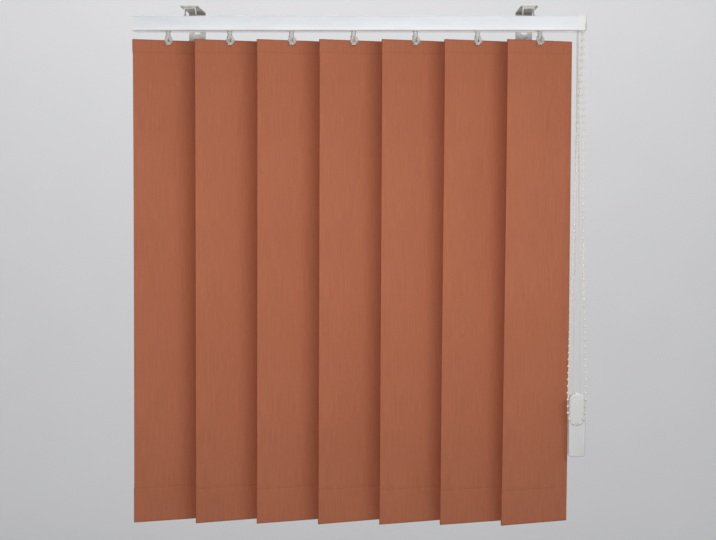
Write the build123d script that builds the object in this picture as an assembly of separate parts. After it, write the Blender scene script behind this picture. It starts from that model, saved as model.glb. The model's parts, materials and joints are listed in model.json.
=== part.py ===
from build123d import *
import math
import os

# Vertical blind with seven fabric louvres, headrail, chain tilt and cord draw, on two wall brackets.
# Millimetres. X runs along the rail to the control end, -Y faces the room, +Z is up.
# The origin is on the wall, in the middle of the four bracket holes.
# Pieces of the rail are placed from the rail's centre line, and pieces of a louvre from its hook.

# ---- Drawing habits: how far a cut runs past a face or just past a thin wall, and how far a joined block sinks in
past = 1.0
skin = 0.01
sunk = 0.5

# ---- Louvres: folded fabric with a pocket at each end
louvre_count = 7
louvre_width = 127.0
louvre_drop = 850.0
fabric_thickness = 0.5
pocket_gap = 2.6
top_pocket = 20.0
hem_pocket = 60.0
pocket_taper = 5.0
weld_overlap = 0.8
weld_sunk = 0.1
rest_tilt = 24.0
carrier_pitch = 108.0

# ---- Headrail: extruded channel, open below for the hooks and above for the clips
rail_depth = 44.0
rail_height = 25.0
rail_wall = 1.2
face_bulge = 1.0
hook_slot = 16.0
clip_channel = 1.8
clip_lip = 5.0
rail_corner = 2.0
first_hook_to_end = 57.5
last_hook_to_end = 63.5
row_offset = -9.5
louvre_below_rail = 15.5

# ---- Wall brackets and clips
wall_to_axis = 92.0
bracket_spacing = 588.0
bracket_width = 30.0
bracket_metal = 2.0
bracket_front = 22.0
bracket_leg = 52.0
bracket_above_rail = 15.0
bracket_bend = 1.8
bracket_corner = 5.0
hole_spacing_z = 22.0
hole_top_inset = 15.0
slot_length = 10.0
slot_radius = 2.6
clip_metal = 1.2
clip_strip = 12.0
clip_bridge = 20.0
clip_tongue_gap = 0.3
rivet_radius = 2.5
rivet_head_radius = 4.5
rivet_head_height = 1.2
rivet_gap = 0.02

# ---- Tilt rod, worms and hooks
rod_core_radius = 2.3
rod_rib_radius = 3.0
rod_rib_width = 1.4
rod_ribs = 3
rod_bore_gap = 0.15
bearing_gap = 0.1
rod_above_ledge = 8.5
rod_inset = 2.0
rod_pass_gap = 0.4
press_gap = 0.02
worm_radius = 4.6
worm_length = 13.6
worm_grooves = 4
groove_width = 1.3
groove_depth = 0.8
worm_end_gap = 0.3
worm_side_gap = 0.4
mesh_gap = 0.3
wheel_tip_radius = 6.3
wheel_root_radius = 5.1
wheel_teeth = 12
wheel_height = 6.0
wheel_end_gap = 0.3
wheel_side_gap = 0.4
tooth_root_share = 0.62
tooth_tip_share = 0.55
journal_radius = 2.6
journal_gap = 0.08
neck_radius = 4.2
neck_top_gap = 0.3
bridge_low = 2.0
bridge_high = 7.5
jaw_radius = 7.4
jaw_thickness = 1.6
jaw_gap = 0.35
jaw_drop = 7.6
jaw_back_width = 9.0
jaw_back_short = 1.0
jaw_slit = 1.8
slit_above_peg = 0.6
slit_below_top = 1.4
peg_radius = 1.6
peg_depth = 5.2
punch_width = 9.0
punch_height = 6.0

# ---- Carriers and the spacer strips that set their pitch
carrier_length = 22.0
carrier_corner = 2.0
carrier_side_gap = 0.5
ledge_gap = 0.3
carrier_headroom = 0.4
slot_guide_gap = 0.6
strip_width = 9.0
strip_thickness = 0.35
strip_step = 0.62
strip_clear = 0.25
strip_side_gap = 0.3
strip_roof = 1.0
strip_past = 6.0
strip_hold = 9.0
strip_corner = 3.0

# ---- Hanger in the top pocket, weight in the hem
hanger_width = 118.0
hanger_height = 16.5
hanger_thickness = 1.2
hanger_corner = 3.0
hanger_rib = 1.4
rib_inset = 6.0
rib_above_edge = 3.0
rib_sunk = 0.1
hanger_slot_width = 8.0
hanger_slot_above = 0.2
hanger_slot_below = 0.3
bar_width = 118.0
bar_height = 40.0
bar_thickness = 2.0
bar_corner = 6.0
pocket_clear = 0.3

# ---- Draw cord, its return pulley and its weight
cord_radius = 1.1
cord_near_y = 9.5
cord_far_y = 17.5
cord_hole_gap = 0.5
cord_turn = 4.0
cord_slant_room = 0.4
cord_guide_past = 1.0
cord_guide_depth = 6.0
cord_exit_inset = 3.5
clamp_reach = 6.0
groove_slack = 0.1
pulley_gap = 0.25
pulley_flange = 1.3
pulley_pin = 1.5
pulley_bore_gap = 0.08
pulley_inset = 12.5
pulley_width = 6.0
pulley_end_gap = 0.4
pulley_side_gap = 1.2
weight_beside_wheel = 0.2
weight_behind_axis = 4.0
weight_top_z = -648.5
weight_width = 30.0
weight_height = 114.0
weight_thickness = 14.0
weight_pulley_drop = 17.0
weight_groove_radius = 6.3
weight_pulley_width = 5.4
weight_room = 6.0
weight_room_gap = 0.5
weight_pin_inset = 0.3
weight_corner = 5.0
weight_edge = 3.0

# ---- Bead chain and its wheel
bead_radius = 2.25
chain_wheel_radius = 8.5
chain_wheel_width = 8.0
chain_pockets = 4
chain_rim = 0.5
bead_groove_gap = 0.3
bead_pocket_gap = 0.7
chain_cavity_gap = 0.6
chain_side_gap = 1.5
chain_room_gap = 0.5
chain_joint = 0.4
arc_share = 0.45

# ---- End caps
cap_flange = 3.0
cap_plug = 14.0
idle_plug = 18.0
idle_wall = 1.0
plug_gap = 0.3
control_length = 15.0
control_wall = 3.5
housing_wall = 1.2
cap_corner = 4.0

# ---- Places that follow from the sizes
rail_top = hole_top_inset - bracket_metal - bracket_above_rail + hole_spacing_z / 2
rail_bottom = rail_top - rail_height
axis_y = -wall_to_axis
ledge_z = rail_bottom + rail_wall
channel_floor = rail_top - rail_wall - clip_channel
ceiling_z = channel_floor - rail_wall
louvre_top = rail_bottom - louvre_below_rail
hook_xs = [row_offset + (i - (louvre_count - 1) / 2) * carrier_pitch for i in range(louvre_count)]
rail_left = hook_xs[0] - first_hook_to_end
rail_right = hook_xs[-1] + last_hook_to_end
rod_z = ledge_z + rod_above_ledge
rod_y = axis_y - wheel_tip_radius - worm_radius - mesh_gap
near_cord_y = axis_y + cord_near_y
far_cord_y = axis_y + cord_far_y
inner_half = rail_depth / 2 - rail_wall
carrier_half = inner_half - carrier_side_gap
carrier_floor = ledge_z + ledge_gap
carrier_top = ceiling_z - carrier_headroom
window_top = carrier_top - strip_roof
window_height = strip_thickness + (louvre_count - 2) * strip_step + 2 * strip_clear
window_floor = window_top - window_height
wheel_floor = rod_z - wheel_height / 2
chain_x = rail_right + control_wall + chain_wheel_width / 2 + chain_side_gap
return_x = rail_left + pulley_inset
cord_exit_x = rail_right + cord_exit_inset
weight_x = chain_x - weight_beside_wheel
weight_y = axis_y + weight_behind_axis
pulley_z = weight_top_z - weight_pulley_drop
half_gap = pocket_gap / 2
half_pack = half_gap + fabric_thickness


def block(x, y, z):
    """A box from three (low, high) pairs."""
    size = [pair[1] - pair[0] for pair in (x, y, z)]
    centre = [(pair[0] + pair[1]) / 2 for pair in (x, y, z)]
    return Pos(*centre) * Box(*size)


def round_x(x, y, z, radius):
    """A cylinder along X between the pair x."""
    return Pos((x[0] + x[1]) / 2, y, z) * Rot(0, 90, 0) * Cylinder(radius, x[1] - x[0])


def round_y(x, y, z, radius):
    """A cylinder along Y between the pair y."""
    return Pos(x, (y[0] + y[1]) / 2, z) * Rot(90, 0, 0) * Cylinder(radius, y[1] - y[0])


def round_z(x, y, z, radius):
    """A cylinder along Z between the pair z."""
    return Pos(x, y, (z[0] + z[1]) / 2) * Cylinder(radius, z[1] - z[0])


def save(name, shape):
    """One STEP file, named for its node."""
    export_step(shape, os.path.join("parts", name + ".step"))


# ---- Headrail
def rail_section():
    """The extrusion's section, with Y across and Z up, in the rail's own place."""
    half = rail_depth / 2
    middle = rail_bottom + rail_height / 2
    with BuildSketch() as shell:
        with BuildLine():
            Polyline((-half, rail_top), (half, rail_top), (half, rail_bottom), (-half, rail_bottom))
            ThreePointArc((-half, rail_bottom), (-half - face_bulge, middle), (-half, rail_top))
        make_face()
        fillet(shell.vertices(), rail_corner)
    room = Pos(0, (ledge_z + ceiling_z) / 2) * Rectangle(2 * inner_half, ceiling_z - ledge_z)
    channel = Pos(0, channel_floor + clip_channel / 2) * Rectangle(2 * inner_half, clip_channel)
    mouth = Pos(0, rail_top) * Rectangle(2 * (inner_half - clip_lip), 2 * (rail_wall + skin))
    slot = Pos(0, rail_bottom) * Rectangle(hook_slot, 2 * (rail_wall + skin))
    return shell.sketch - room - channel - mouth - slot


def headrail():
    across = Plane(origin=(rail_left, axis_y, 0), x_dir=(0, 1, 0), z_dir=(1, 0, 0))
    return extrude(across * rail_section(), rail_right - rail_left)


# ---- Wall brackets and rail clips
def wall_bracket(x):
    """A bent strip: one leg on the wall with two slots, one leg forward over the rail."""
    top = rail_top + bracket_above_rail + bracket_metal
    side = (x - bracket_width / 2, x + bracket_width / 2)
    front = axis_y - bracket_front
    shape = block(side, (front, 0), (top - bracket_metal, top))
    shape += block(side, (-bracket_metal, 0), (top - bracket_leg, top))
    outer = shape.edges().filter_by(Axis.X).group_by(Axis.Z)[-1].sort_by(Axis.Y)[-1]
    shape = fillet(outer, bracket_bend)
    shape = fillet(shape.edges().filter_by(Axis.Z).group_by(Axis.Y)[0], bracket_corner)
    for z in (-hole_spacing_z / 2, hole_spacing_z / 2):
        bar = block(
            (x - slot_length / 2 + slot_radius, x + slot_length / 2 - slot_radius),
            (-2 * bracket_metal, bracket_metal),
            (z - slot_radius, z + slot_radius),
        )
        ends = [
            round_y(x + end, (-2 * bracket_metal, bracket_metal), z, slot_radius)
            for end in (slot_radius - slot_length / 2, slot_length / 2 - slot_radius)
        ]
        shape -= [bar, *ends]
    return shape - round_z(x, axis_y, (top - 2 * bracket_metal, top + past), rivet_radius + rivet_gap)


def rail_clip(x):
    """A bent strip that slides in the rail's top channel and bridges up to the bracket."""
    base = channel_floor + clip_tongue_gap
    bridge_top = rail_top + bracket_above_rail
    half = clip_bridge / 2
    deep = (axis_y - clip_strip / 2, axis_y + clip_strip / 2)
    tongue_half = inner_half - clip_tongue_gap
    shape = block((x - half, x + half), (axis_y - tongue_half, axis_y + tongue_half), (base, base + clip_metal))
    for side in (-1, 1):
        outer = x + side * half
        wall = sorted((outer, outer - side * clip_metal))
        shape += block(wall, deep, (base, bridge_top))
    shape += block((x - half, x + half), deep, (bridge_top - clip_metal, bridge_top))
    shape += round_z(x, axis_y, (bridge_top - clip_metal, bridge_top + bracket_metal), rivet_radius)
    head = (bridge_top + bracket_metal, bridge_top + bracket_metal + rivet_head_height)
    return shape + round_z(x, axis_y, head, rivet_head_radius)


# ---- Tilt rod, worms and the wheel that the chain turns
def rod_profile(grow):
    """The rod's ribbed section, larger all round by grow, centred on the rod."""
    shape = Circle(rod_core_radius + grow)
    reach = rod_rib_radius + grow
    for rib in range(rod_ribs):
        bar = Pos(reach / 2, 0) * Rectangle(reach, rod_rib_width + 2 * grow)
        shape += Rot(0, 0, 360 / rod_ribs * rib) * bar
    return shape


def rod_shape(x, grow=0.0):
    along = Plane(origin=(x[0], rod_y, rod_z), x_dir=(0, 1, 0), z_dir=(1, 0, 0))
    return extrude(along * rod_profile(grow), x[1] - x[0])


def worm(x):
    ends = (x - worm_length / 2, x + worm_length / 2)
    shape = round_x(ends, rod_y, rod_z, worm_radius)
    step = worm_length / (worm_grooves + 1)
    for groove in range(worm_grooves):
        middle = ends[0] + step * (groove + 1)
        width = (middle - groove_width / 2, middle + groove_width / 2)
        ring = round_x(width, rod_y, rod_z, worm_radius + past)
        shape -= ring - round_x(width, rod_y, rod_z, worm_radius - groove_depth)
    return shape - rod_shape((ends[0] - past, ends[1] + past), rod_bore_gap)


def chain_wheel():
    """A grooved wheel with a pocket for each bead, pressed on the rod's end."""
    width = (chain_x - chain_wheel_width / 2, chain_x + chain_wheel_width / 2)
    shape = round_x(width, rod_y, rod_z, chain_wheel_radius + chain_rim)
    clear = bead_radius + bead_groove_gap
    across = Plane(origin=(chain_x, rod_y, rod_z), x_dir=(0, 1, 0), z_dir=(1, 0, 0))
    shape -= Solid.make_torus(chain_wheel_radius, clear, across)
    mouth = (chain_x - clear, chain_x + clear)
    shape -= round_x(mouth, rod_y, rod_z, chain_wheel_radius + past) - round_x(mouth, rod_y, rod_z, chain_wheel_radius)
    for pocket in range(chain_pockets):
        angle = math.radians(360 / chain_pockets * pocket)
        y = rod_y + chain_wheel_radius * math.cos(angle)
        z = rod_z + chain_wheel_radius * math.sin(angle)
        shape -= Pos(chain_x, y, z) * Sphere(bead_radius + bead_pocket_gap)
    return shape - rod_shape((width[0] - past, width[1] + past), press_gap)


# ---- Carriers and spacer strips
def carrier(x):
    ends = (x - carrier_length / 2, x + carrier_length / 2)
    deep = (axis_y - carrier_half, axis_y + carrier_half)
    shape = block(ends, deep, (carrier_floor, carrier_top))
    shape = fillet(shape.edges().filter_by(Axis.Z), carrier_corner)
    guide = hook_slot / 2 - slot_guide_gap
    shape += round_z(x, axis_y, (rail_bottom + ledge_gap, carrier_floor + sunk), guide)
    wheel_room = (wheel_floor - wheel_end_gap, wheel_floor + wheel_height + wheel_end_gap)
    shape -= round_z(x, axis_y, wheel_room, wheel_tip_radius + wheel_side_gap)
    shape -= round_z(x, axis_y, (rail_bottom - past, wheel_floor), journal_radius + journal_gap)
    worm_room = (x - worm_length / 2 - worm_end_gap, x + worm_length / 2 + worm_end_gap)
    shape -= round_x(worm_room, rod_y, rod_z, worm_radius + worm_side_gap)
    through = (ends[0] - past, ends[1] + past)
    shape -= round_x(through, rod_y, rod_z, rod_rib_radius + rod_pass_gap)
    for y in (near_cord_y, far_cord_y):
        shape -= round_x(through, y, rod_z, cord_radius + cord_hole_gap)
    half = strip_width / 2 + strip_side_gap
    return shape - block(through, (axis_y - half, axis_y + half), (window_floor, window_top))


def spacer(x, level):
    """A strip fixed in the carrier at x that slides through the carriers on its idle side."""
    bottom = window_floor + strip_clear + level * strip_step
    left = x - carrier_pitch - carrier_length / 2 - strip_past
    half = strip_width / 2
    strip = block((left, x + strip_hold), (axis_y - half, axis_y + half), (bottom, bottom + strip_thickness))
    return fillet(strip.edges().filter_by(Axis.Z), strip_corner)


# ---- One louvre: hook, hanger, fabric and hem weight, drawn flat along X and turned about its hook
def louvre_place(x):
    return Pos(x, axis_y, louvre_top) * Rot(0, 0, rest_tilt)


def hook(x):
    wheel_z = wheel_floor - louvre_top
    shape = round_z(0, 0, (wheel_z, wheel_z + wheel_height), wheel_root_radius)
    tooth_root = math.pi * wheel_root_radius / wheel_teeth * tooth_root_share
    tooth_tip = tooth_root * tooth_tip_share
    for tooth in range(wheel_teeth):
        with BuildSketch() as face:
            with BuildLine():
                Polyline(
                    (wheel_root_radius - sunk, -tooth_root),
                    (wheel_tip_radius, -tooth_tip),
                    (wheel_tip_radius, tooth_tip),
                    (wheel_root_radius - sunk, tooth_root),
                    close=True,
                )
            make_face()
        blade = extrude(Pos(0, 0, wheel_z) * face.sketch, wheel_height)
        shape += Rot(0, 0, 360 / wheel_teeth * tooth) * blade
    jaw_front = half_pack + jaw_gap
    outer = jaw_front + jaw_thickness
    shape += round_z(0, 0, (bridge_high - sunk, wheel_z), journal_radius)
    shape += round_z(0, 0, (bridge_low, louvre_below_rail - neck_top_gap), neck_radius)
    shape += block((-neck_radius, neck_radius), (-outer, outer), (bridge_low, bridge_high))
    disc_z = jaw_radius - jaw_drop
    shape += round_y(0, (-outer, -jaw_front), disc_z, jaw_radius)
    half = jaw_back_width / 2
    shape += block((-half, half), (jaw_front, outer), (-jaw_drop + jaw_back_short, bridge_low + sunk))
    shape += round_y(0, (-jaw_front - sunk, jaw_front + sunk), -peg_depth, peg_radius)
    slit_z = (-peg_depth + peg_radius + slit_above_peg, disc_z + jaw_radius - slit_below_top)
    shape -= block((-jaw_slit / 2, jaw_slit / 2), (-outer - past, -jaw_front + skin), slit_z)
    return louvre_place(x) * shape


def hanger(x):
    """A flat plate in the top pocket with two stiffening ribs and the slot that hangs on the hook."""
    top = -fabric_thickness - pocket_clear
    half = hanger_width / 2
    thick = hanger_thickness / 2
    plate = block((-half, half), (-thick, thick), (top - hanger_height, top))
    plate = fillet(plate.edges().filter_by(Axis.Y), hanger_corner)
    proud = half_gap - pocket_clear
    rib_z = top - hanger_height + rib_above_edge
    for side in (-1, 1):
        rib = sorted((side * (half - rib_inset), side * (punch_width / 2 + rib_inset)))
        plate += block(rib, (thick - rib_sunk, proud), (rib_z, rib_z + hanger_rib))
    slot = block(
        (-hanger_slot_width / 2, hanger_slot_width / 2),
        (-2 * thick, 2 * thick),
        (-peg_depth - peg_radius - hanger_slot_below, -peg_depth + peg_radius + hanger_slot_above),
    )
    return louvre_place(x) * (plate - slot)


def louvre_section():
    """The fold of the fabric, with its thickness across Y and its drop along Z."""
    inner, outer = half_gap, half_pack
    bottom = -louvre_drop
    shape = Pos(-(inner + outer) / 2, bottom / 2) * Rectangle(fabric_thickness, louvre_drop)
    for end, pocket, way in ((0.0, top_pocket, -1), (bottom, hem_pocket, 1)):
        flap_end = end + way * pocket
        flap = Pos((inner + outer) / 2, (end + flap_end) / 2) * Rectangle(fabric_thickness, pocket)
        fold = Pos(0, end + way * fabric_thickness / 2) * Rectangle(2 * outer, fabric_thickness)
        with BuildSketch() as weld:
            with BuildLine():
                Polyline(
                    (inner, flap_end - way * weld_sunk),
                    (outer, flap_end),
                    (-inner - weld_sunk, flap_end + way * (pocket_taper + weld_overlap)),
                    (-inner - weld_sunk, flap_end + way * pocket_taper),
                    close=True,
                )
            make_face()
        shape += [flap, fold, weld.sketch]
    return shape


def louvre(x):
    across = Plane(origin=(-louvre_width / 2, 0, 0), x_dir=(0, 1, 0), z_dir=(1, 0, 0))
    shape = extrude(across * louvre_section(), louvre_width)
    punch = block(
        (-punch_width / 2, punch_width / 2),
        (-2 * half_pack, 2 * half_pack),
        (-peg_depth - punch_height / 2, -peg_depth + punch_height / 2),
    )
    return louvre_place(x) * (shape - punch)


def hem_weight(x):
    low = -louvre_drop + fabric_thickness + pocket_clear
    half = bar_width / 2
    thick = bar_thickness / 2
    bar = block((-half, half), (-thick, thick), (low, low + bar_height))
    return louvre_place(x) * fillet(bar.edges().filter_by(Axis.Y), bar_corner)


# ---- End caps
def idle_end_cap():
    """A flange, and a plug that carries the rod's end and the return pulley's pin."""
    left = rail_left - cap_flange
    half = rail_depth / 2
    flange = block((left, rail_left), (axis_y - half - face_bulge, axis_y + half), (rail_bottom, rail_top))
    flange = fillet(flange.edges().filter_by(Axis.X), rail_corner)
    plug_y = (axis_y - inner_half + plug_gap, axis_y + inner_half - plug_gap)
    plug_x = (rail_left, rail_left + idle_plug)
    shape = flange + block(plug_x, plug_y, (ledge_z + plug_gap, ceiling_z - plug_gap))
    room_z = (rod_z - pulley_width / 2 - pulley_end_gap, rod_z + pulley_width / 2 + pulley_end_gap)
    middle_y = (near_cord_y + far_cord_y) / 2
    room_half = cord_turn + pulley_flange + pulley_side_gap
    shape -= block((return_x - room_half, plug_x[1] + past), (middle_y - room_half, middle_y + room_half), room_z)
    shape += round_z(return_x, middle_y, (room_z[0] - sunk, room_z[1] + sunk), pulley_pin)
    return shape - round_x((rail_left + idle_wall, plug_x[1] + past), rod_y, rod_z, rod_rib_radius + bearing_gap)


def control_end_cap():
    """A plug with the rod's bearing, the chain wheel's housing and the two cord guides."""
    half = rail_depth / 2
    right = rail_right + control_length
    housing = block((rail_right, right), (axis_y - half - face_bulge, axis_y + half), (rail_bottom, rail_top))
    housing = fillet(housing.edges().filter_by(Axis.Z).group_by(Axis.X)[-1], cap_corner)
    plug_y = (axis_y - inner_half + plug_gap, axis_y + inner_half - plug_gap)
    shape = housing + block((rail_right - cap_plug, rail_right), plug_y, (ledge_z + plug_gap, ceiling_z - plug_gap))
    room = chain_wheel_radius + bead_radius + chain_cavity_gap
    room_x = (chain_x - chain_wheel_width / 2 - chain_room_gap, chain_x + chain_wheel_width / 2 + chain_room_gap)
    shape -= round_x(room_x, rod_y, rod_z, room)
    shape -= block(room_x, (rod_y - room, rod_y + room), (rail_bottom - past, rod_z))
    through = (rail_right - cap_plug - past, right - housing_wall)
    shape -= round_x(through, rod_y, rod_z, rod_rib_radius + bearing_gap)
    hole = cord_radius + cord_hole_gap
    for y in (near_cord_y, far_cord_y):
        deep = (y - hole, y + hole)
        shape -= round_x((through[0], cord_exit_x), y, rod_z, hole)
        bend_x = (cord_exit_x - cord_turn - cord_guide_past, cord_exit_x + hole)
        shape -= block(bend_x, deep, (rod_z - cord_guide_depth, rod_z + hole))
        shape -= block((cord_exit_x - hole, cord_exit_x + hole + cord_slant_room), deep, (rail_bottom - past, rod_z))
    return shape


# ---- Pulleys
def grooved_pulley(groove, width, bore=0.0):
    """A pulley on Z with a half-round groove for the cord, whose centre line runs at radius groove."""
    rim = groove + pulley_flange
    clear = cord_radius + pulley_gap
    shape = Cylinder(rim, width)
    shape -= Solid.make_torus(groove, clear, Plane.XY)
    shape -= Cylinder(rim + past, 2 * clear) - Cylinder(groove, 2 * clear)
    if bore:
        shape -= Cylinder(bore, 2 * width)
    return shape


def return_pulley():
    place = Pos(return_x, (near_cord_y + far_cord_y) / 2, rod_z)
    return place * grooved_pulley(cord_turn, pulley_width, pulley_pin + pulley_bore_gap)


# ---- Cord weight with its pulley
def weight_pulley():
    pin = Cylinder(pulley_pin, weight_thickness - 2 * weight_pin_inset)
    return Pos(weight_x, weight_y, pulley_z) * Rot(90, 0, 0) * (grooved_pulley(weight_groove_radius, weight_pulley_width) + pin)


def cord_weight():
    half = weight_width / 2
    bottom = weight_top_z - weight_height
    crown = weight_top_z - half
    back = weight_y + weight_thickness / 2
    front = weight_y - weight_thickness / 2
    shape = block((weight_x - half, weight_x + half), (front, back), (bottom, crown))
    shape += round_y(weight_x, (front, back), crown, half)
    shape = fillet(shape.edges().filter_by(Axis.Y).group_by(Axis.Z)[0], weight_corner)
    shape = fillet(shape.faces().filter_by(Axis.Y).edges(), weight_edge)
    room = weight_groove_radius + pulley_flange + weight_room_gap
    room_y = (weight_y - weight_room / 2, weight_y + weight_room / 2)
    shape -= round_y(weight_x, room_y, pulley_z, room)
    shape -= block((weight_x - room, weight_x + room), room_y, (pulley_z, weight_top_z + past))
    return shape - round_y(weight_x, (front - past, back + past), pulley_z, pulley_pin + pulley_bore_gap)


# ---- Cord and chain routes
clamp_x = hook_xs[0]
pulley_foot = pulley_z - weight_groove_radius
draw_cord_route = [
    ((clamp_x + clamp_reach, near_cord_y, rod_z), 0),
    ((cord_exit_x, near_cord_y, rod_z), cord_turn),
    ((weight_x + weight_groove_radius, weight_y, pulley_foot), weight_groove_radius - groove_slack),
    ((weight_x - weight_groove_radius, weight_y, pulley_foot), weight_groove_radius - groove_slack),
    ((cord_exit_x, far_cord_y, rod_z), cord_turn),
    ((return_x - cord_turn, far_cord_y, rod_z), cord_turn - groove_slack / 2),
    ((return_x - cord_turn, near_cord_y, rod_z), cord_turn - groove_slack / 2),
    ((clamp_x - clamp_reach, near_cord_y, rod_z), 0),
]

# Places that the free chain passes, from its wheel's centre: along the rail, to the wall, and up
free_chain = [
    (-0.3, 8.3, -31.7),
    (-1.7, 7.8, -85.7),
    (-3.6, 8.0, -141.7),
    (-5.7, 7.3, -198.7),
    (-7.7, 6.9, -255.7),
    (-9.1, 7.0, -313.7),
    (-10.4, 6.3, -370.7),
    (-11.8, 5.8, -427.7),
    (-14.1, 5.3, -484.7),
    (-15.8, 4.6, -539.7),
    (-16.9, 4.7, -592.7),
    (-17.7, 4.3, -638.7),
    (-17.5, 4.4, -667.7),
    (-16.8, 4.3, -688.3),
    (-8.0, 4.4, -697.5),
    (4.0, 4.3, -697.7),
    (13.2, 4.4, -688.7),
    (14.2, 4.2, -667.7),
    (13.9, 3.8, -636.7),
    (12.3, 3.0, -587.7),
    (10.6, 1.8, -534.7),
    (8.3, 0.9, -479.7),
    (6.5, -0.6, -423.7),
    (5.1, -1.7, -366.7),
    (4.2, -3.0, -309.7),
    (3.9, -3.9, -252.7),
    (2.9, -5.2, -195.7),
    (2.4, -6.1, -139.7),
    (1.4, -7.4, -85.7),
    (0.4, -8.0, -33.7),
]
chain_top = rod_z + chain_wheel_radius
chain_route = [(chain_x + along, rod_y + back, rod_z + up) for along, back, up in free_chain]


def free_radii(points):
    """A tangent arc for each inner point, as large as its two runs allow."""
    radii = []
    for a, b, c in zip(points, points[1:], points[2:]):
        turn = (Vector(*b) - Vector(*a)).get_angle(Vector(*c) - Vector(*b))
        shorter = min((Vector(*b) - Vector(*a)).length, (Vector(*c) - Vector(*b)).length)
        radii.append(arc_share * shorter / math.tan(math.radians(turn) / 2))
    return radii


def tube(points, radii, radius):
    """A round tube along straight runs joined by tangent arcs."""
    path = FilletPolyline(*points, radius=radii)
    start = Plane(origin=path @ 0, z_dir=path % 0)
    solid = sweep(start * Circle(radius), path=path)
    section = math.pi * radius**2
    print("tube length", round(path.length, 1), "volume share", round(solid.volume / (section * path.length), 4))
    return solid


def draw_cord():
    points = [place for place, _ in draw_cord_route]
    radii = [radius for _, radius in draw_cord_route[1:-1]]
    print("draw cord radii", [round(r, 1) for r in radii])
    return tube(points, radii, cord_radius)


def bead_chain():
    """The chain as one tube: over its wheel at the top, where its joint is, and free below."""
    ends = [(chain_x, rod_y + side * chain_joint / 2, chain_top) for side in (1, -1)]
    shoulders = [(chain_x, rod_y + side * chain_wheel_radius, chain_top) for side in (1, -1)]
    points = [ends[0], shoulders[0], *chain_route, shoulders[1], ends[1]]
    radii = free_radii(points)
    radii[0] = chain_wheel_radius - chain_joint
    radii[-1] = chain_wheel_radius - chain_joint
    print("chain radii", [round(r, 1) for r in radii])
    return tube(points, radii, bead_radius)


def main():
    os.makedirs("parts", exist_ok=True)
    bracket_xs = (-bracket_spacing / 2, bracket_spacing / 2)
    save("headrail", headrail())
    save("wall_brackets", Compound([wall_bracket(x) for x in bracket_xs]))
    save("rail_clips", Compound([rail_clip(x) for x in bracket_xs]))
    save("idle_end_cap", idle_end_cap())
    save("control_end_cap", control_end_cap())
    save("tilt_rod", rod_shape((rail_left + rod_inset, chain_x + chain_wheel_width / 2)))
    save("chain_wheel", chain_wheel())
    save("return_pulley", return_pulley())
    save("cord_weight", cord_weight())
    save("weight_pulley", weight_pulley())
    save("draw_cord", draw_cord())
    save("bead_chain", bead_chain())
    for number, x in enumerate(hook_xs, start=1):
        save(f"carrier_{number}", carrier(x))
        save(f"worm_{number}", worm(x))
        save(f"hook_{number}", hook(x))
        save(f"hanger_{number}", hanger(x))
        save(f"louvre_{number}", louvre(x))
        save(f"hem_weight_{number}", hem_weight(x))
        if number > 1:
            save(f"spacer_{number}", spacer(x, number - 2))


main()
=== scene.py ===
# %% [markdown]
# # A vertical blind with seven woven louvres
#
# The blind hangs from two wall brackets. A white headrail holds a row of carriers, each carrier holds a hook,
# and each hook holds one wide strip of stiffened cloth, called a louvre. A bead chain turns the louvres and a
# weighted cord draws them aside. The hard parts come from CAD and arrive here as a fixed frame.
# Blender adds the cloth, the cord, the chain and every finish.

# %% The frame
import json
import math

import bpy
from mathutils import Matrix, Vector


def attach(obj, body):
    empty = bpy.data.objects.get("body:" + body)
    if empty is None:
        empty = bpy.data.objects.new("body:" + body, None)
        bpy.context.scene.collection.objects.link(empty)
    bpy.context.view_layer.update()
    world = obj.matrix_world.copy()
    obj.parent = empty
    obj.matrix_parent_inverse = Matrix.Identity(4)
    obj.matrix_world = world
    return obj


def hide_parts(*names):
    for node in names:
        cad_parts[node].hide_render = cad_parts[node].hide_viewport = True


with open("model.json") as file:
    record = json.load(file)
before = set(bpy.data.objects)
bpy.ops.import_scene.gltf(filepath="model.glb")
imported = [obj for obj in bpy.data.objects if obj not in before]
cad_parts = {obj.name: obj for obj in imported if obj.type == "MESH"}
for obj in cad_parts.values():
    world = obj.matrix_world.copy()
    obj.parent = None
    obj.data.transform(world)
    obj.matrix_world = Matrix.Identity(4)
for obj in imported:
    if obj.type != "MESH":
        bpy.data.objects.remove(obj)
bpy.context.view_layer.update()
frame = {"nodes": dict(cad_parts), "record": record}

MM = 0.001
louvre_numbers = range(1, 8)

# %% [markdown]
# ## The camera
#
# A camera is a lens, a place and a direction. A long lens keeps the seven louvres nearly parallel, as a person
# standing well back from the window sees them. The direction is built from three turns: round the upright, then
# down, then a slight roll.

# %% Camera
SENSOR_WIDTH = 36.0
RENDER_WIDTH, LENS_LENGTH = 716, 1503         # both in the same unit, so that their ratio is the zoom
CAMERA_PLACE = (0.0639, -2.731, -0.2585)
TURN, DOWN, ROLL = -1.4, 3.775, -0.13         # degrees

camera = bpy.data.objects.new("camera", bpy.data.cameras.new("camera"))
camera.data.sensor_width = SENSOR_WIDTH
camera.data.lens = SENSOR_WIDTH * LENS_LENGTH / RENDER_WIDTH
camera.matrix_world = (
    Matrix.Translation(CAMERA_PLACE)
    @ Matrix.Rotation(math.radians(-TURN), 4, "Z")
    @ Matrix.Rotation(math.radians(90 - DOWN), 4, "X")
    @ Matrix.Rotation(math.radians(-ROLL), 4, "Z")
)
bpy.context.scene.collection.objects.link(camera)
bpy.context.scene.camera = camera
print("lens:", round(camera.data.lens, 1), "mm")

# %% [markdown]
# ## Writing a material as a sum
#
# Blender draws a material as boxes joined by threads. Many of the boxes only add or multiply, so a small class
# wraps the end of a thread and lets Python's own signs make those boxes: `1 - mask` is a Math node set to
# Subtract. The reflected forms, such as `__rsub__`, are what Python calls when the plain number comes first.

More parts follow.
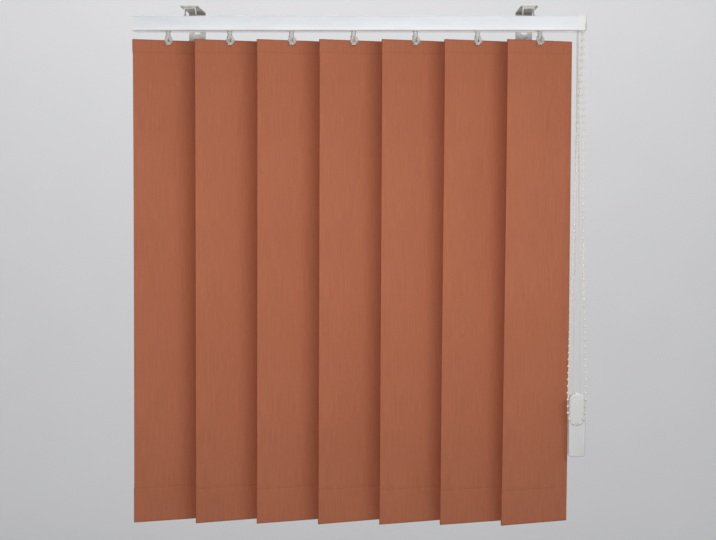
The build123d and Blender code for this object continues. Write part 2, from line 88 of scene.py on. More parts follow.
# %% Thread
class Thread:
    """One value on its way through a finish, with Python's signs for Blender's Math nodes."""

    def __init__(self, finish, socket):
        self.finish, self.socket = finish, socket

    def math(self, operation, first, second=None):
        sockets = {0: first} if second is None else {0: first, 1: second}
        return self.finish.node("ShaderNodeMath", {"operation": operation}, sockets)

    def __add__(self, other):
        return self.math("ADD", self, other)

    def __sub__(self, other):
        return self.math("SUBTRACT", self, other)

    def __mul__(self, other):
        return self.math("MULTIPLY", self, other)

    def __rsub__(self, other):
        return self.math("SUBTRACT", other, self)

    __radd__, __rmul__ = __add__, __mul__

    def sine(self):
        return self.math("SINE", self)

    def band(self, low, high):
        """0 below low and 1 above high, with a soft step between."""
        sockets = {"Value": self, "From Min": low, "From Max": high, "To Min": 0.0, "To Max": 1.0}
        return self.finish.node("ShaderNodeMapRange", {"interpolation_type": "SMOOTHSTEP"}, sockets)


print("signs for shader values: + - *")

# %% [markdown]
# ## One finish, one place to add its nodes
#
# `Finish.node` makes any box: its settings come first, because some of them change which sockets there are, and
# then what goes into its sockets. Colours go through a Mix node, since a Math node would turn them grey. A value
# that is the same all over goes straight to the shader's own socket.

# %% Finish
class Finish:
    """One material, and the ways to add nodes to it."""

    def __init__(self, name):
        self.material = bpy.data.materials.new(name)
        self.material.use_nodes = True
        self.tree = self.material.node_tree
        self.shader = self.tree.nodes["Principled BSDF"]

    def plug(self, socket, value):
        if isinstance(value, Thread):
            self.tree.links.new(value.socket, socket)
        else:
            socket.default_value = value

    def node(self, kind, settings=None, sockets=None, out=0):
        made = self.tree.nodes.new(kind)
        for key, value in (settings or {}).items():
            setattr(made, key, value)
        for key, value in (sockets or {}).items():
            self.plug(made.inputs[key], value)
        return Thread(self, made.outputs[out])

    def mix(self, share, first, second):
        """A colour between two colours."""
        first, second = (c if isinstance(c, Thread) else (*c, 1.0) for c in (first, second))
        return self.node("ShaderNodeMix", {"data_type": "RGBA"}, {0: share, 6: first, 7: second}, out=2)

    def place(self, scale=(1, 1, 1), source="Object"):
        """Where a point is on its piece, in metres, stretched by scale."""
        point = self.node("ShaderNodeTexCoord", out=source)
        return self.node("ShaderNodeMapping", None, {"Vector": point, "Scale": scale})

    def axes(self, point):
        """The three numbers of a point or a colour."""
        parts = self.node("ShaderNodeSeparateXYZ", None, {0: point})
        return [Thread(self, socket) for socket in parts.socket.node.outputs]

    def noise(self, point, size=1.0, detail=3.0, rough=0.5):
        sockets = {"Vector": point, "Scale": size, "Detail": detail, "Roughness": rough}
        return self.node("ShaderNodeTexNoise", None, sockets)

    def surface(self, **values):
        """Sets the shader's sockets, each named with _ for a space; three numbers are a colour."""
        for key, value in values.items():
            colour = isinstance(value, tuple)
            self.plug(self.shader.inputs[key.replace("_", " ")], (*value, 1.0) if colour else value)

    def bump(self, height, distance, strength):
        sockets = {"Height": height, "Distance": distance, "Strength": strength}
        self.plug(self.shader.inputs["Normal"], self.node("ShaderNodeBump", None, sockets))


finishes = {}
print("ways to add nodes: node, mix, place, axes, noise, surface, bump")

# %% [markdown]
# ## Woven cloth
#
# The louvres are terracotta polyester, woven in a plain weave and stiffened with resin. Three things show.
# Thick and thin places in the upright threads draw fine streaks, the crossing threads make a tiny relief,
# and the two welds press a line across the strip. The streaks are noise that is stretched forty times longer
# than wide, and the relief is two sines multiplied. Both use the cloth's own flat coordinates, so they follow the
# cloth round its folds.

# %% Cloth
LOUVRE_TOP, LOUVRE_DROP = -31.5 * MM, 850 * MM
TOP_WELD_DROP, HEM_WELD_RISE = 21.5 * MM, 61.5 * MM
WELD_REACH = 1.6 * MM                         # how far a weld shows to each side of its line
THREAD = 0.55 * MM
STREAK, SLUB = (1.6 * MM, 70 * MM), (0.7 * MM, 18 * MM)   # across and along the strip


def weld_mask(finish):
    """1 on the two weld lines and 0 away from them."""
    height = finish.axes(finish.place())[2]
    mask = 0.0
    for line in (LOUVRE_TOP - TOP_WELD_DROP, LOUVRE_TOP - LOUVRE_DROP + HEM_WELD_RISE):
        above, below = height.band(line, line + WELD_REACH), height.band(line - WELD_REACH, line)
        mask = mask + below * (1 - above)
    return mask


def louvre_fabric():
    f = Finish("terracotta_weave")
    across, along, _ = f.axes(f.place(source="UV"))
    streaks = f.noise(f.place((1 / STREAK[0], 1 / STREAK[1], 1), source="UV"), detail=4.0, rough=0.65)
    slubs = f.noise(f.place((1 / SLUB[0], 1 / SLUB[1], 1), source="UV"), detail=2.0)
    patches = f.noise(f.place((9, 9, 5)), detail=2.0)
    weave = (across * (math.pi / THREAD)).sine() * (along * (math.pi / THREAD)).sine()
    weld = weld_mask(f)
    tone = streaks * 0.55 + slubs * 0.3 + patches * 0.15
    colour = f.mix(tone.band(0.32, 0.68), (0.350, 0.107, 0.051), (0.430, 0.143, 0.072))
    # Where the crossing threads stand highest, the colour is lifted toward a lighter tone: a painted highlight on the
    # weave's raised points.
    colour = f.mix(weave * 0.10 + 0.10, colour, (0.46, 0.19, 0.12))
    colour = f.mix(weld * 0.12, colour, (0.17, 0.055, 0.03))
    f.surface(Base_Color=colour, Roughness=slubs * 0.12 + 0.80, Specular_IOR_Level=0.18)
    f.surface(Sheen_Weight=0.08, Sheen_Roughness=0.6, Sheen_Tint=(0.9, 0.55, 0.42))
    f.bump(weave * 0.5 + streaks * 0.8 - weld * 1.2, distance=0.12 * MM, strength=0.8)
    return f.material


finishes["louvre_fabric"] = louvre_fabric()
print("cloth threads every", round(THREAD / MM, 2), "mm")

# %% [markdown]
# ## Stove enamel on the headrail
#
# The rail is an aluminium extrusion with a white gloss coat. Sprayed enamel is never quite flat, so a soft, slow
# noise bends the reflections a little, along the rail more than round it. Dust and handling make some places duller.

# %% Enamel
def rail_enamel():
    f = Finish("white_enamel")
    peel = f.noise(f.place((260, 420, 420)), detail=2.0)
    dust = f.noise(f.place((14, 60, 60)), detail=4.0, rough=0.6)
    f.surface(Base_Color=f.mix(dust.band(0.35, 0.75), (0.78, 0.80, 0.82), (0.73, 0.745, 0.76)))
    f.surface(Roughness=dust * 0.16 + 0.34, Specular_IOR_Level=0.35, Coat_Weight=0.12, Coat_Roughness=0.12)
    f.bump(peel, distance=0.05 * MM, strength=0.35)
    return f.material


finishes["rail_enamel"] = rail_enamel()
print("enamel:", finishes["rail_enamel"].name)

# %% [markdown]
# ## Bright metals
#
# The brackets are zinc plated, the weights in the hems are galvanised strip and the tilt rod is bare aluminium.
# Zinc grows in flat crystals, and Voronoi cells give those. Rolled and drawn metal has fine lines one way, which
# is noise pulled out along one axis. Both go into the roughness, where a metal's texture mostly lives.

# %% Metals
WORN_SHADE = 0.72                             # how much of its colour a metal keeps in its dull places


def drawn_metal(name, colour, lines, roughness, spangle=None):
    """Lines is how tightly the drawn lines lie along each axis, and spangle the size of zinc's crystals."""
    f = Finish(name)
    grain = f.noise(f.place(lines), detail=4.0, rough=0.6)
    marks = f.noise(f.place((90, 90, 90)), detail=5.0, rough=0.7)
    value = grain * 0.5 + marks * 0.5
    if spangle:
        cells = {"Vector": f.place(), "Scale": 1 / spangle}
        crystal = f.axes(f.node("ShaderNodeTexVoronoi", None, cells, out="Color"))[0]
        value = value * 0.6 + crystal * 0.4
    dull = tuple(c * WORN_SHADE for c in colour)
    f.surface(Base_Color=f.mix(value.band(0.25, 0.75), dull, colour), Metallic=1.0)
    f.surface(Roughness=value * 0.22 + roughness)
    f.bump(grain, distance=0.03 * MM, strength=0.4)
    return f.material


finishes["zinc_plate"] = drawn_metal("zinc_plate", (0.60, 0.60, 0.57), (900, 120, 900), 0.30, 4 * MM)
finishes["bar_steel"] = drawn_metal("galvanised_strip", (0.66, 0.67, 0.67), (60, 900, 900), 0.30, 9 * MM)
finishes["spring_steel"] = drawn_metal("spring_steel", (0.62, 0.63, 0.65), (30, 1200, 900), 0.18)
finishes["rod_aluminium"] = drawn_metal("mill_aluminium", (0.82, 0.83, 0.84), (20, 1500, 1500), 0.22)
print("metals:", [m.name for m in finishes.values()][-4:])

# %% [markdown]
# ## Moulded plastics
#
# Caps, wheels and carriers are moulded. A mould leaves a fine matt grain, and flow leaves slow shifts of tone.
# One function makes them all from a colour, its darker shade, a roughness and the size of the grain. The hooks are
# clear, so some light passes through them.

# %% Plastics
def moulded(name, colour, shade, roughness, grain_size, **more):
    f = Finish(name)
    grain = f.noise(f.place(), 1 / grain_size)
    flow = f.noise(f.place((30, 30, 12)))
    f.surface(Base_Color=f.mix(flow.band(0.3, 0.75), colour, shade))
    f.surface(Roughness=grain * 0.14 + roughness, **more)
    f.bump(grain, distance=0.04 * MM, strength=0.35)
    return f.material


finishes["cap_plastic"] = moulded("cap_plastic", (0.80, 0.80, 0.79), (0.75, 0.75, 0.73), 0.26, 0.5 * MM)
finishes["weight_plastic"] = moulded(
    "weight_plastic", (0.66, 0.67, 0.66), (0.60, 0.61, 0.59), 0.16, 0.9 * MM, Coat_Weight=0.4, Coat_Roughness=0.05
)
finishes["gear_plastic"] = moulded("acetal", (0.76, 0.76, 0.72), (0.70, 0.70, 0.65), 0.38, 0.4 * MM)
finishes["bead_plastic"] = moulded("cream_beads", (0.78, 0.73, 0.61), (0.70, 0.64, 0.51), 0.20, 0.6 * MM)
finishes["hook_plastic"] = moulded(
    "clear_hook", (0.80, 0.79, 0.74), (0.66, 0.66, 0.61), 0.10, 0.6 * MM, Transmission_Weight=0.55, IOR=1.49
)
print("plastics:", [m.name for m in finishes.values()][-5:])

# %% [markdown]
# ## Braid
#
# The draw cord is a fine white braid. Bundles of yarn cross in two spirals, so the height is two slanted sines.
# The cord's flat coordinates run round and along it, and the spirals repeat a whole number of times round, so no
# seam shows.

# %% Braid
CORD_RADIUS = 1.1 * MM
CORD_GIRTH = 2 * math.pi * CORD_RADIUS
BUNDLES = 4                                   # in each of the two spirals
PICK = 3.2 * MM                               # how far along the cord a bundle comes round again


def braid():
    f = Finish("white_braid")
    around, along, _ = f.axes(f.place(source="UV"))
    spiral = around * (2 * math.pi * BUNDLES / CORD_GIRTH)
    travel = along * (2 * math.pi / PICK)
    relief = (spiral + travel).sine() + (spiral - travel).sine()
    fuzz = f.noise(f.place(), 1 / (0.25 * MM), detail=2.0)
    # The colour is darker where the relief is low: painted shade in the braid's grooves between the bundles.
    f.surface(Base_Color=f.mix(relief.band(-1.2, 0.4), (0.52, 0.51, 0.47), (0.80, 0.79, 0.75)))
    f.surface(Roughness=fuzz * 0.2 + 0.62)
    f.bump(relief * 0.5 + fuzz * 0.3, distance=0.18 * MM, strength=0.8)
    return f.material


finishes["cord_braid"] = braid()
print("finishes:", len(finishes))

# %% [markdown]
# ## Finishes for the CAD parts
#
# The record says which slot each CAD node belongs to, so one loop gives every hard part its finish.

# %% CAD parts
slot_of = {row["node"]: row["material_slot"] for row in frame["record"]["subparts"]}
for name, node in frame["nodes"].items():
    for slot in node.material_slots:
        slot.material = finishes[slot_of[name]]
print("slots in use:", len(set(slot_of.values())))

# %% [markdown]
# ## From points to a piece
#
# Everything soft is made point by point. `piece` turns lists of points and faces into an object with flat
# coordinates for its finish, gives it the finish, and says to the frame which body it moves with. A few flat rims
# should stay crisp, so only the first faces are shaded smooth when `smooth_faces` is given.

# %% Piece
def piece(name, points, faces, flat, slot_name, body, smooth_faces=None):
    """A mesh object; flat holds a pair of flat coordinates for each corner of each face."""
    mesh = bpy.data.meshes.new(name)
    mesh.from_pydata(points, [], faces)
    layer = mesh.uv_layers.new(name="flat")
    corners = [pair for pairs in flat for pair in pairs]
    for corner, pair in zip(layer.data, corners):
        corner.uv = pair
    for number, polygon in enumerate(mesh.polygons):
        polygon.use_smooth = smooth_faces is None or number < smooth_faces
    mesh.materials.append(finishes[slot_name])
    obj = bpy.data.objects.new(name, mesh)
    bpy.context.scene.collection.objects.link(obj)
    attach(obj, body)
    return obj


print("piece helper ready")

# %% [markdown]
# ## From a route to a line
#
# A cord's route is a few places that it passes or turns near. A NURBS spline of order three rounds each corner
# between them and starts and ends exactly on the first and the last. The curve gets no thickness of its own: its
# points are read back, and `spaced` sets new ones along them at an even step.

# %% Routes
NO_LENGTH = 1e-12                             # keeps a stretch of no length from dividing by nothing
ROUTE_STEP = 4 * MM


def route_points(name, places):
    """The smooth line along places in millimetres, as points in metres."""
    curve = bpy.data.curves.new(name, "CURVE")
    curve.dimensions = "3D"
    curve.resolution_u = 16
    spline = curve.splines.new("NURBS")
    spline.points.add(len(places) - 1)
    for point, place in zip(spline.points, places):
        point.co = (*(c * MM for c in place), 1.0)
    spline.order_u = 3
    spline.use_endpoint_u = True
    holder = bpy.data.objects.new(name, curve)
    mesh = bpy.data.meshes.new_from_object(holder)
    line = [v.co.copy() for v in mesh.vertices]
    bpy.data.meshes.remove(mesh)
    bpy.data.objects.remove(holder)
    bpy.data.curves.remove(curve)
    return line


def spaced(line, step):
    """Pairs of a point and its distance along the line, a step apart."""
    run = [0.0]
    for a, b in zip(line, line[1:]):
        run.append(run[-1] + (b - a).length)
    count = max(2, round(run[-1] / step))
    found, k = [], 0
    for number in range(count + 1):
        along = run[-1] * number / count
        while k < len(run) - 2 and run[k + 1] < along:
            k += 1
        share = (along - run[k]) / max(run[k + 1] - run[k], NO_LENGTH)
        found.append((line[k].lerp(line[k + 1], min(share, 1.0)), along))
    return found


print("route helpers ready")

# %% [markdown]
# ## A tube along a line
#
# A ring of points is carried along the line. At each stop the ring's own sideways arrow is only straightened
# against the new direction, so the tube never twists, and the braid's spirals stay even round every pulley.

# %% Tube
def tube(stops, radius, sides):
    """Rings along the stops, faces between them, and a closing face at each end."""
    centres = [place for place, _ in stops]
    ways = [(b - a).normalized() for a, b in zip(centres, centres[1:])]
    ways.append(ways[-1])
    side = ways[0].orthogonal().normalized()
    girth = 2 * math.pi * radius
    points, faces, flat = [], [], []
    for number, (centre, way) in enumerate(zip(centres, ways)):
        side = (side - way * side.dot(way)).normalized()
        other = way.cross(side)
        for k in range(sides):
            angle = 2 * math.pi * k / sides
            points.append(centre + (side * math.cos(angle) + other * math.sin(angle)) * radius)
        if number:
            low, high = stops[number - 1][1], stops[number][1]
            first = (number - 1) * sides
            for k in range(sides):
                a, b = first + k, first + (k + 1) % sides
                u, v = girth * k / sides, girth * (k + 1) / sides
                faces.append((a, b, b + sides, a + sides))
                flat.append([(u, low), (v, low), (v, high), (u, high)])
    last = len(points) - sides
    for loop, along in ((range(sides - 1, -1, -1), stops[0][1]), (range(last, last + sides), stops[-1][1])):
        faces.append(tuple(loop))
        flat.append([(0.0, along)] * sides)
    return points, faces, flat


print("tube helper ready")

# %% [markdown]
# ## The draw cord
#
# One white cord starts at the lead carrier, runs inside the rail to the control end, drops to the weight, turns
# round its small pulley, climbs back, and returns through the rail to the same carrier. The weight keeps it
# straight, so its route has only a few points, with one close to each pulley that keeps the turn small.

# %% Draw cord
NEAR_RUN, FAR_RUN, RAIL_RUN = -82.5, -74.5, -6.3        # the two runs' places across the rail, and their height
DROP_X, IDLE_X, LOW_TURN = 381.5, -382.5, -671.8
NEAR_TURN = 13.0                                        # how far from a turn the straight stretch ends
draw_cord_places = [
    (-327.5, NEAR_RUN, RAIL_RUN),
    (DROP_X - NEAR_TURN, NEAR_RUN, RAIL_RUN), (DROP_X, NEAR_RUN, RAIL_RUN), (381.7, -82.6, RAIL_RUN - NEAR_TURN),
    (392.9, -87.9, LOW_TURN + NEAR_TURN), (393.1, -88.0, LOW_TURN),
    (380.5, -88.0, LOW_TURN), (380.5, -87.7, LOW_TURN + NEAR_TURN),
    (DROP_X, -74.8, RAIL_RUN - NEAR_TURN), (DROP_X, FAR_RUN, RAIL_RUN), (DROP_X - NEAR_TURN, FAR_RUN, RAIL_RUN),
    (IDLE_X + NEAR_TURN, FAR_RUN, RAIL_RUN), (IDLE_X, FAR_RUN, RAIL_RUN),
    (IDLE_X, NEAR_RUN, RAIL_RUN), (IDLE_X + NEAR_TURN, NEAR_RUN, RAIL_RUN),
    (-339.5, NEAR_RUN, RAIL_RUN),
]
cord_stops = spaced(route_points("draw_cord_route", draw_cord_places), ROUTE_STEP)
draw_cord = piece("draw_cord_braid", *tube(cord_stops, CORD_RADIUS, sides=10), "cord_braid", "rail")
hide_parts("draw_cord")
print("draw cord:", round(cord_stops[-1][1], 3), "m")

# %% [markdown]
# ## The bead chain's route
#
# The chain is a loop that goes over a toothed wheel in the end cap and hangs free below it. Nothing pulls it
# straight, so it swings a little and both sides bow. The loop starts and ends on top of the wheel, and the corners
# of the wheel's square keep it on the wheel's round.

# %% Chain route
WHEEL_X, WHEEL_Y, WHEEL_Z, WHEEL_RADIUS = 387.0, -103.2, -6.3, 8.5
JOINT_HALF = 0.2
wheel_top, wheel_back, wheel_front = WHEEL_Z + WHEEL_RADIUS, WHEEL_Y + WHEEL_RADIUS, WHEEL_Y - WHEEL_RADIUS
chain_places = [
    (WHEEL_X, WHEEL_Y + JOINT_HALF, wheel_top), (WHEEL_X, wheel_back, wheel_top), (WHEEL_X, wheel_back, WHEEL_Z),
    (386.7, -94.9, -38.0), (385.3, -95.4, -92.0), (383.4, -95.2, -148.0), (381.3, -95.9, -205.0),
    (379.3, -96.3, -262.0), (377.9, -96.2, -320.0), (376.6, -96.9, -377.0), (375.2, -97.4, -434.0),
    (372.9, -97.9, -491.0), (371.2, -98.6, -546.0), (370.1, -98.5, -599.0), (369.3, -98.9, -645.0),
    (369.5, -98.8, -674.0), (370.2, -98.9, -694.6), (379.0, -98.8, -703.8), (391.0, -98.9, -704.0),
    (400.2, -98.8, -695.0), (401.2, -99.0, -674.0), (400.9, -99.4, -643.0), (399.3, -100.2, -594.0),
    (397.6, -101.4, -541.0), (395.3, -102.3, -486.0), (393.5, -103.8, -430.0), (392.1, -104.9, -373.0),
    (391.2, -106.2, -316.0), (390.9, -107.1, -259.0), (389.9, -108.4, -202.0), (389.4, -109.3, -146.0),
    (388.4, -110.6, -92.0), (387.4, -111.2, -40.0),
    (WHEEL_X, wheel_front, WHEEL_Z), (WHEEL_X, wheel_front, wheel_top), (WHEEL_X, WHEEL_Y - JOINT_HALF, wheel_top),
]
chain_line = route_points("bead_chain_route", chain_places)
chain_stops = spaced(chain_line, ROUTE_STEP)
print("bead chain:", round(chain_stops[-1][1], 3), "m")

# %% [markdown]
# ## Beads
#
# Small cream beads are moulded on the string, about twelve millimetres apart. Each is a stack of rings turned to
# the string's direction, and a small flat closes each pole where the string comes out. String and beads are one
# mesh, because they are one moulding.

# %% Bead chain
BEAD_RADIUS, STRING_RADIUS, BEAD_PITCH = 2.25 * MM, 0.5 * MM, 11.8 * MM
BEAD_SIDES, BEAD_BANDS = 14, 7


def bead(centre, way, along, start):
    """One bead's points, faces and flat coordinates; start is the number of its first point."""
    side = way.orthogonal().normalized()
    other = way.cross(side)
    points, faces, flat = [], [], []
    for ring in range(1, BEAD_BANDS):
        lift = math.pi * ring / BEAD_BANDS
        for k in range(BEAD_SIDES):
            angle = 2 * math.pi * k / BEAD_SIDES
            out = side * math.cos(angle) + other * math.sin(angle)
            points.append(centre + (out * math.sin(lift) - way * math.cos(lift)) * BEAD_RADIUS)
    for ring in range(BEAD_BANDS - 2):
        for k in range(BEAD_SIDES):
            a = start + ring * BEAD_SIDES + k
            b = start + ring * BEAD_SIDES + (k + 1) % BEAD_SIDES
            faces.append((a, b, b + BEAD_SIDES, a + BEAD_SIDES))
            flat.append([(k * MM, along), ((k + 1) * MM, along)] * 2)
    end = start + len(points)
    for loop in (range(start + BEAD_SIDES - 1, start - 1, -1), range(end - BEAD_SIDES, end)):
        faces.append(tuple(loop))
        flat.append([(0.0, along)] * BEAD_SIDES)
    return points, faces, flat


points, faces, flat = tube(chain_stops, STRING_RADIUS, sides=6)
bead_stops = spaced(chain_line, BEAD_PITCH)
for (before, _), (after, along) in zip(bead_stops, bead_stops[1:]):
    made = bead(before.lerp(after, 0.5), (after - before).normalized(), along, len(points))
    for whole, part in zip((points, faces, flat), made):
        whole += part
chain = piece("bead_chain_beads", points, faces, flat, "bead_plastic", "rail")
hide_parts("bead_chain")
print("beads:", len(bead_stops) - 1)

# %% [markdown]
# ## The louvre's folds
#
# A louvre is one strip of cloth, folded over and welded at both ends. The top pocket holds the hanger, and the hem
# pocket holds a flat weight. Cloth this stiff doesn't need a simulation: it hangs flat. So the strip is drawn as
# the path that its middle layer follows through the folds, seen from the side, as pairs of a distance across and a
# height. The front panel lies on the room's side, the pocket's flap behind it, and past each weld the flap's end
# lies on the panel's back.

# %% The strip's path
WIDTH, THICK, POCKET_HALF = 127 * MM, 0.5 * MM, 1.3 * MM
PANEL = -(POCKET_HALF + THICK / 2)
FLAP = -PANEL
WELDED = PANEL + THICK
WELD_GROOVE = PANEL + 0.25 * MM               # the panel's own dip at a weld
FOLD_STEPS, PANEL_STEPS = 6, 36
PEG_HOLE = (-2.4, -5.2, -8.2)                 # heights at the top, middle and bottom of the hook's hole
HEM_HEIGHTS = (3, 8, 16, 26, 36, 46, 56)


def fold(first, turn, height):
    """The half round at a fold, from the layer at first to the other one; turn is 1 at the top and -1 at the hem."""
    angles = [math.pi * k / FOLD_STEPS for k in range(1, FOLD_STEPS)]
    return [(first * math.cos(a), height + turn * FLAP * math.sin(a)) for a in angles]


def strip_path():
    hem = -LOUVRE_DROP
    top_flap = [(WELDED, -29), (WELDED, -26), (WELDED * 0.5, -23.6), (FLAP * 0.55, -21.4), (FLAP, -19.4), (FLAP, -14)]
    path = [(n, z * MM) for n, z in top_flap] + [(FLAP, z * MM) for z in reversed(PEG_HOLE)]
    path += fold(FLAP, 1, -THICK / 2 - FLAP)
    path += [(PANEL, z * MM) for z in (*PEG_HOLE, -14, -18.5, -20.6)]
    path += [(WELD_GROOVE, -TOP_WELD_DROP), (PANEL, -22.4 * MM), (PANEL, -26 * MM)]
    first, last = -34 * MM, hem + 70 * MM
    path += [(PANEL, first + (last - first) * k / PANEL_STEPS) for k in range(PANEL_STEPS + 1)]
    weld = hem + HEM_WELD_RISE
    path += [(PANEL, weld + 1.2 * MM), (WELD_GROOVE, weld), (PANEL, weld - 1.2 * MM)]
    path += [(PANEL, hem + z * MM) for z in reversed(HEM_HEIGHTS)]
    path += fold(PANEL, -1, hem + THICK / 2 + FLAP)
    path += [(FLAP, hem + z * MM) for z in (*HEM_HEIGHTS, 59.4)]
    hem_flap = [(FLAP * 0.55, 61.4), (WELDED * 0.5, 63.6), (WELDED, 66), (WELDED, 69)]
    return path + [(n, hem + z * MM) for n, z in hem_flap]


strip = strip_path()
strip_run = [0.0]
for (n0, z0), (n1, z1) in zip(strip, strip[1:]):
    strip_run.append(strip_run[-1] + math.hypot(n1 - n0, z1 - z0))

# %% [markdown]
# ## How each louvre hangs
#
# Flat cloth in a row looks drawn with a ruler, so each louvre hangs in its own way. `TWIST` is how many degrees the
# hem has turned from the hanger. `SWAY` is how many millimetres the hem has moved along the rail, and `CUP` how many
# the cloth hollows across its width. Neighbours differ only a little, because the louvres pack a finger's width
# apart when they are drawn, and the last one has to pass the cord weight.

# %% Hanging
REST_TILT, AXIS_Y = 24.0, -92 * MM
FIRST_HOOK, HOOK_PITCH = -333.5, 108
TWIST = (-5.0, -2.8, -3.6, -2.0, -3.6, -5.0, -3.0)
SWAY = (-2.4, -1.0, -0.8, -0.8, 0.0, -0.8, -2.2)
CUP = (0.5, 0.8, 0.4, 0.9, 0.6, 0.3, 0.7)
hook_places = [(FIRST_HOOK + HOOK_PITCH * k) * MM for k in range(len(louvre_numbers))]


def hung(number, u, n, z):
    """Where a point of a louvre is in the room: u across it, n through it, and z up from its top."""
    share = min(1.0, max(0.0, -z / LOUVRE_DROP))
    eased = share * share * (3 - 2 * share)
    n += CUP[number - 1] * MM * math.sin(math.pi * share) ** 2 * (1 - (2 * u / WIDTH) ** 2)
    tilt = math.radians(REST_TILT + TWIST[number - 1] * eased)
    x = hook_places[number - 1] + SWAY[number - 1] * MM * share**2
    return (
        x + u * math.cos(tilt) - n * math.sin(tilt),
        AXIS_Y + u * math.sin(tilt) + n * math.cos(tilt),
        LOUVRE_TOP + z,
    )


print("widest twist:", min(TWIST), "degrees")

# %% [markdown]
# ## Cloth with a thickness
#
# The strip's path is swept across its width in columns, once for each face of the cloth, half the thickness to each
# side. The cells where the hook's peg goes through are left out. Then every edge that belongs to one cell only,
# round the strip and round the hole, gets a narrow rim between the two faces, so the cloth is one closed skin.

# %% Cells and rims
HALF_COLUMNS = (4.5, 12, 20, 28, 36, 44, 52, 59, 63.0, 63.5)
COLUMNS = [c * MM for c in (*(-c for c in reversed(HALF_COLUMNS)), 0, *HALF_COLUMNS)]
PEG_HALF = HALF_COLUMNS[0] * MM
ROUNDING = 1e-6


def strip_normals():
    """The way out of the cloth's face at each point of the path."""
    normals = []
    for k in range(len(strip)):
        (n0, z0), (n1, z1) = strip[max(k - 1, 0)], strip[min(k + 1, len(strip) - 1)]
        length = math.hypot(n1 - n0, z1 - z0)
        normals.append((-(z1 - z0) / length, (n1 - n0) / length))
    return normals


def punched(row, column):
    """Whether this cell is cut away for the hook's peg."""
    heights = strip[row][1], strip[row + 1][1]
    middle = (COLUMNS[column] + COLUMNS[column + 1]) / 2
    low, high = PEG_HOLE[-1] * MM - ROUNDING, PEG_HOLE[0] * MM + ROUNDING
    return low <= min(heights) and max(heights) <= high and abs(middle) < PEG_HALF


def ring(row, column):
    """A cell's four corners in order."""
    return [(row, column), (row, column + 1), (row + 1, column + 1), (row + 1, column)]


cells = [(r, c) for r in range(len(strip) - 1) for c in range(len(COLUMNS) - 1) if not punched(r, c)]
edges = [edge for cell in cells for edge in zip(ring(*cell), ring(*cell)[1:] + ring(*cell)[:1])]
known_edges = set(edges)
rims = [(a, b) for a, b in edges if (b, a) not in known_edges]
print("cells:", len(cells), "rim edges:", len(rims))

# %% [markdown]
# ## One louvre's cloth
#
# The two faces run in opposite orders, so each looks outward. Each corner's flat coordinates are its column and its
# distance along the strip, which is what the weave follows.

# %% Cloths
def louvre_cloth(number):
    points = []
    for side in (1, -1):
        for (n, z), (out_n, out_z) in zip(strip, strip_normals()):
            shift = side * THICK / 2
            points += [hung(number, u, n + out_n * shift, z + out_z * shift) for u in COLUMNS]

    def spot(side, place):
        row, column = place
        return (side * len(strip) + row) * len(COLUMNS) + column

    def lay(place):
        return COLUMNS[place[1]], strip_run[place[0]]

    faces, flat = [], []
    for side in (0, 1):
        for cell in cells:
            loop = ring(*cell)[::-1] if side else ring(*cell)
            faces.append(tuple(spot(side, place) for place in loop))
            flat.append([lay(place) for place in loop])
    smooth_faces = len(faces)
    for a, b in rims:
        faces.append((spot(1, a), spot(1, b), spot(0, b), spot(0, a)))
        flat.append([lay(a), lay(b), lay(b), lay(a)])
    name, body = f"louvre_cloth_{number}", f"louvre_{number}"
    return piece(name, points, faces, flat, "louvre_fabric", body, smooth_faces)


print("points of one cloth:", 2 * len(strip) * len(COLUMNS))

# %% [markdown]
# ## The weight in the hem
#
# A flat galvanised strip lies in each hem pocket. Its ends show between the two layers of cloth, so its corners are
# rounded. The outline is four quarter circles, one after the other, and the straight sides lie between them.

# %% Bar outline
BAR_HALF, BAR_LOW, BAR_HIGH, BAR_CORNER = 59.0, -849.2, -809.2, 6.0
CORNER_STEPS = 4


def bar_outline():
    """The bar's outline, once round, as pairs across and up."""
    outline = []
    for x_sign, z_sign, start in ((1, 1, 0), (-1, 1, 90), (-1, -1, 180), (1, -1, 270)):
        centre_x = x_sign * (BAR_HALF - BAR_CORNER)
        centre_z = BAR_HIGH - BAR_CORNER if z_sign == 1 else BAR_LOW + BAR_CORNER
        for k in range(CORNER_STEPS + 1):
            angle = math.radians(start + 90 * k / CORNER_STEPS)
            outline.append((centre_x + BAR_CORNER * math.cos(angle), centre_z + BAR_CORNER * math.sin(angle)))
    return outline


print("bar outline:", len(bar_outline()), "points")

# %% [markdown]
# ## Bars in their pockets
#
# The outline is stacked four times through the bar. The outer two are drawn in a little, which makes a small soft
# edge that catches the light. Every point goes through `hung`, so a bar has the same twist as the cloth round it.
# Here each louvre's cloth and bar are made, and the CAD nodes that they stand for are hidden.

# %% Hem bars
BAR_LAYERS = ((-1.0, 0.25), (-0.75, 0.0), (0.75, 0.0), (1.0, 0.25))   # a place through the bar, and its inset


def hem_bar(number):
    outline, middle, half_height = bar_outline(), (BAR_LOW + BAR_HIGH) / 2, (BAR_HIGH - BAR_LOW) / 2
    points = []
    for n, inset in BAR_LAYERS:
        for u, z in outline:
            place = (u * (1 - inset / BAR_HALF), n, middle + (z - middle) * (1 - inset / half_height))
            points.append(hung(number, *(c * MM for c in place)))
    count = len(outline)
    faces, flat = [], []
    for layer in range(len(BAR_LAYERS) - 1):
        low_edge, high_edge = layer * MM, (layer + 1) * MM
        for k in range(count):
            a, b = layer * count + k, layer * count + (k + 1) % count
            left, right = k * MM, (k + 1) * MM
            faces.append((a + count, b + count, b, a))
            flat.append([(left, high_edge), (right, high_edge), (right, low_edge), (left, low_edge)])
    last = len(points)
    for loop in (range(count), range(last - 1, last - count - 1, -1)):
        faces.append(tuple(loop))
        flat.append([(0.0, 0.0)] * count)
    return piece(f"hem_bar_{number}", points, faces, flat, "bar_steel", f"louvre_{number}", 0)


for number in louvre_numbers:
    cloth, bar = louvre_cloth(number), hem_bar(number)
    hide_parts(f"hem_weight_{number}")
    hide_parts(f"louvre_{number}")
print("louvres:", len(louvre_numbers), "each with a hem bar", round(BAR_HIGH - BAR_LOW), "mm high")

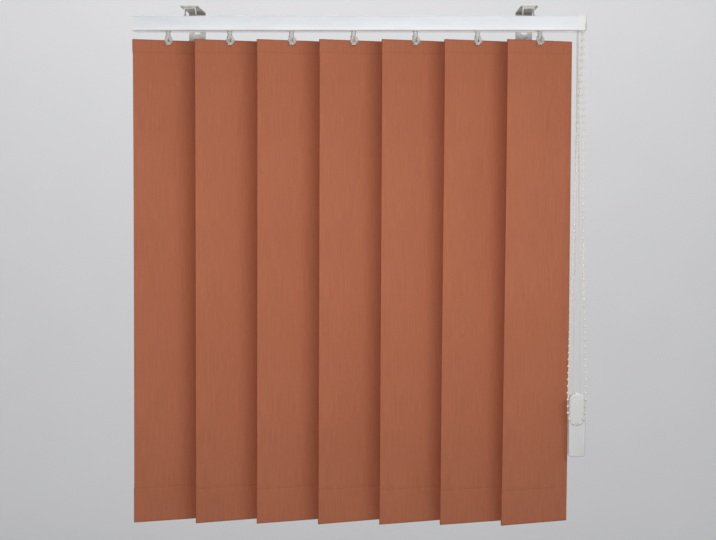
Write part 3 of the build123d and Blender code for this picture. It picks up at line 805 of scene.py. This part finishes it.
# %% [markdown]
# ## Floor and backdrop
#
# The room is plain: a pale floor and a pale wall, far enough behind the blind that it can be walked round. The rail
# hangs a little over two metres above the floor, as it does over a window.

# %% Floor and backdrop
ROOM_SIZE, FLOOR_HEIGHT, WALL_BEHIND = 14.0, -2.2, 5.0
ROOM_SHADE = 0.96                             # the paint's darker patches


def plain(name, matrix, colour):
    half = ROOM_SIZE / 2
    corners = [(-half, -half, 0), (half, -half, 0), (half, half, 0), (-half, half, 0)]
    mesh = bpy.data.meshes.new(name)
    mesh.from_pydata(corners, [], [(0, 1, 2, 3)])
    f = Finish(name)
    patches = f.noise(f.place(), 3.0, detail=2.0)
    f.surface(Base_Color=f.mix(patches, colour, tuple(c * ROOM_SHADE for c in colour)), Roughness=0.9)
    mesh.materials.append(f.material)
    obj = bpy.data.objects.new(name, mesh)
    obj.matrix_world = matrix
    bpy.context.scene.collection.objects.link(obj)


upright = Matrix.Rotation(math.radians(90), 4, "X")
plain("floor", Matrix.Translation((0, -2.0, FLOOR_HEIGHT)), (0.66, 0.66, 0.66))
plain("backdrop", Matrix.Translation((0, WALL_BEHIND, 0)) @ upright, (0.80, 0.80, 0.81))
print("floor at", FLOOR_HEIGHT, "m, backdrop at", WALL_BEHIND, "m")

# %% [markdown]
# ## Light
#
# The key is a long, low panel in front of the blind. Its length softens the shade that each louvre throws on its
# neighbour, and being near, it leaves the hems a little darker than the middle. A second panel washes the
# backdrop, a third fills the backs of the louvres, and the pale sky fills the rest.

# %% Light
def panel(name, place, aim, size, power):
    light = bpy.data.lights.new(name, "AREA")
    light.shape, light.size, light.size_y, light.energy = "RECTANGLE", size[0], size[1], power
    obj = bpy.data.objects.new(name, light)
    obj.location = place
    obj.rotation_mode = "QUATERNION"
    obj.rotation_quaternion = (Vector(aim) - Vector(place)).to_track_quat("-Z", "Y")
    bpy.context.scene.collection.objects.link(obj)


panel("key", (0.14, -1.1, -0.27), (0.0, -0.1, -0.28), (1.7, 0.3), 10.6)
panel("back_fill", (-0.5, 2.2, 1.3), (0.0, 0.0, -0.4), (2.2, 0.8), 30)
panel("wash", (-0.3, 1.2, 2.9), (-0.2, 5.0, -0.9), (5.0, 0.8), 150)
world = bpy.data.worlds.new("room")
world.use_nodes = True
sky = world.node_tree.nodes["Background"].inputs
sky["Color"].default_value = (0.96, 0.97, 1.0, 1.0)
sky["Strength"].default_value = 0.38
bpy.context.scene.world = world
bpy.context.scene.view_settings.view_transform = "Standard"
print("panels:", [light.name for light in bpy.data.lights])
